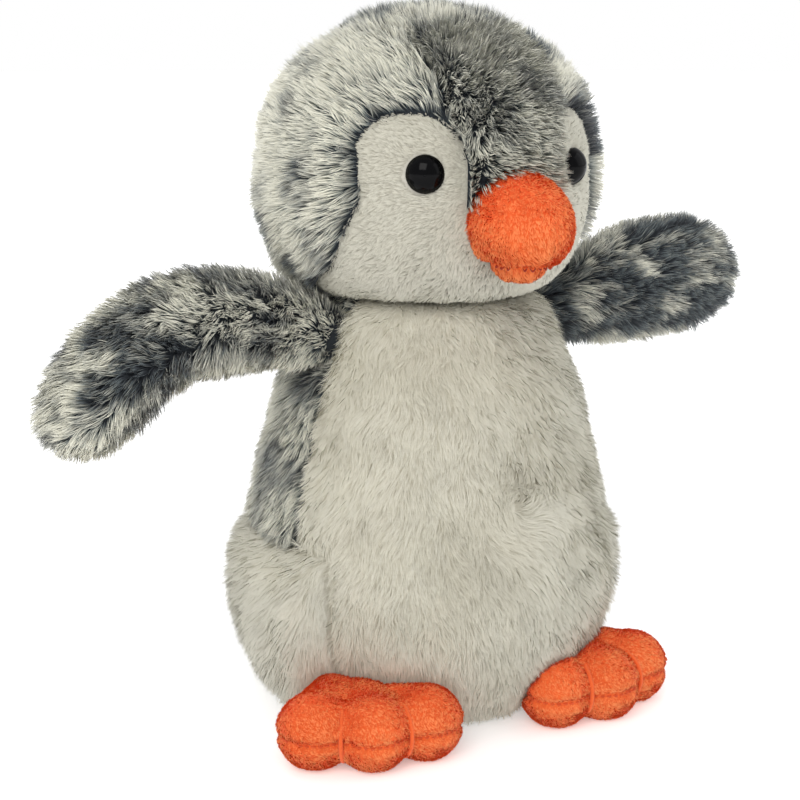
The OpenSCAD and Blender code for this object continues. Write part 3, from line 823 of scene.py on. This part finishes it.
def chains(skin):
    """Lines of points and outward directions along a two-panel skin's seam."""
    g = skin.far[:, 0] - skin.far[:, 1]
    links = {}
    for t in triangles_of(skin.obj.data):
        cut = [tuple(sorted((t[i], t[i - 1]))) for i in range(3) if (g[t[i]] > 0) != (g[t[i - 1]] > 0)]
        if len(cut) == 2:
            links.setdefault(cut[0], []).append(cut[1])
            links.setdefault(cut[1], []).append(cut[0])
    normal = normals_of(skin.obj.data)
    out = []
    while links:
        start = next((k for k in sorted(links) if len(links[k]) == 1), min(links))
        line, at = [start], start
        while True:
            ahead = [k for k in links.pop(at) if k in links]
            if not ahead:
                break
            at = ahead[0]
            line.append(at)
        share = np.array([g[a] / (g[a] - g[b]) for a, b in line])[:, None]
        a, b = (np.array([k[i] for k in line]) for i in (0, 1))
        out.append((skin.co[a] * (1 - share) + skin.co[b] * share, unit(normal[a] * (1 - share) + normal[b] * share)))
    return out


def sew(name, skin, material, keep, pitch, length, radius, lift, sides=6, rows=6):
    """A row of separate stitches along a skin's seam, each a small arched thread that dips in at its ends.

    keep says whether there is a stitch at a place. pitch, length, radius and lift are in mm, and a thread has
    that many sides and that many rings.
    """
    verts, faces = [], []
    arch = np.sin(np.linspace(0, math.pi, rows))
    for points, normals in chains(skin):
        run = np.concatenate([[0], np.cumsum(np.linalg.norm(np.diff(points, axis=0), axis=1))])
        for start in np.arange(pitch * MM / 2, run[-1] - length * MM, pitch * MM):
            at = start + np.linspace(0, length * MM, rows)
            mid = np.stack([np.interp(at, run, points[:, k]) for k in range(3)], axis=1)
            up = unit(np.stack([np.interp(at, run, normals[:, k]) for k in range(3)], axis=1))
            if not keep(mid[rows // 2], skin.others):
                continue
            mid = mid + up * ((lift + radius) * MM * arch - radius * MM)[:, None]
            side = unit(np.cross(up, mid[-1] - mid[0]))
            base = len(verts)
            for k in range(rows):
                r = radius * MM * (0.45 + 0.55 * arch[k])
                for c in range(sides):
                    a = 2 * math.pi * c / sides
                    verts.append(mid[k] + (side[k] * math.cos(a) + up[k] * math.sin(a)) * r)
            for k in range(rows - 1):
                for c in range(sides):
                    d = (c + 1) % sides
                    faces.append([base + k * sides + c, base + k * sides + d, base + (k + 1) * sides + d,
                                  base + (k + 1) * sides + c])
            faces.append([base + c for c in reversed(range(sides))])
            faces.append([base + (rows - 1) * sides + c for c in range(sides)])
    mesh = bpy.data.meshes.new(name)
    mesh.from_pydata([tuple(v) for v in verts], [], faces)
    mesh.polygons.foreach_set("use_smooth", np.ones(len(faces), bool))
    mesh.materials.append(material)
    obj = add_object(name, mesh)
    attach(obj, skin.body)


def clear_of(place, others):
    """Whether a place on a foot's seam is out of the body's reach."""
    return others.find_nearest(place)[3] > 3 * MM


def in_smile(place, others):
    """Whether a place on the beak's seam is far enough forward to show."""
    return place[1] < beak_hi[1] - 8 * MM


sew("smile_stitches", beak, smile_thread, in_smile, pitch=2.2, length=2.1, radius=0.33, lift=1.9)
for side, f in feet.items():
    sew(f"foot_{side}_seam", f, seam_thread, clear_of, pitch=2.2, length=1.9, radius=0.24, lift=0.45)


# ---------- carried-over CAD pieces ----------

for name, material in (("pellet_pouch", pouch_cloth), ("pellets", pellet_plastic), ("closing_seam", dark_thread),
                       ("eye_left", eye_plastic), ("eye_right", eye_plastic), ("eye_washer_left", washer_plastic),
                       ("eye_washer_right", washer_plastic), ("foot_left_stitches", orange_thread),
                       ("foot_right_stitches", orange_thread)):
    mesh = nodes[name].data
    mesh.materials.clear()
    mesh.materials.append(material)


# ---------- floor ----------

FLOOR_RADIUS = 6
bm = bmesh.new()
bmesh.ops.create_circle(bm, cap_ends=True, segments=64, radius=FLOOR_RADIUS)
mesh = bpy.data.meshes.new("floor")
bm.to_mesh(mesh)
bm.free()
mesh.materials.append(floor_material())
floor = add_object("floor", mesh)
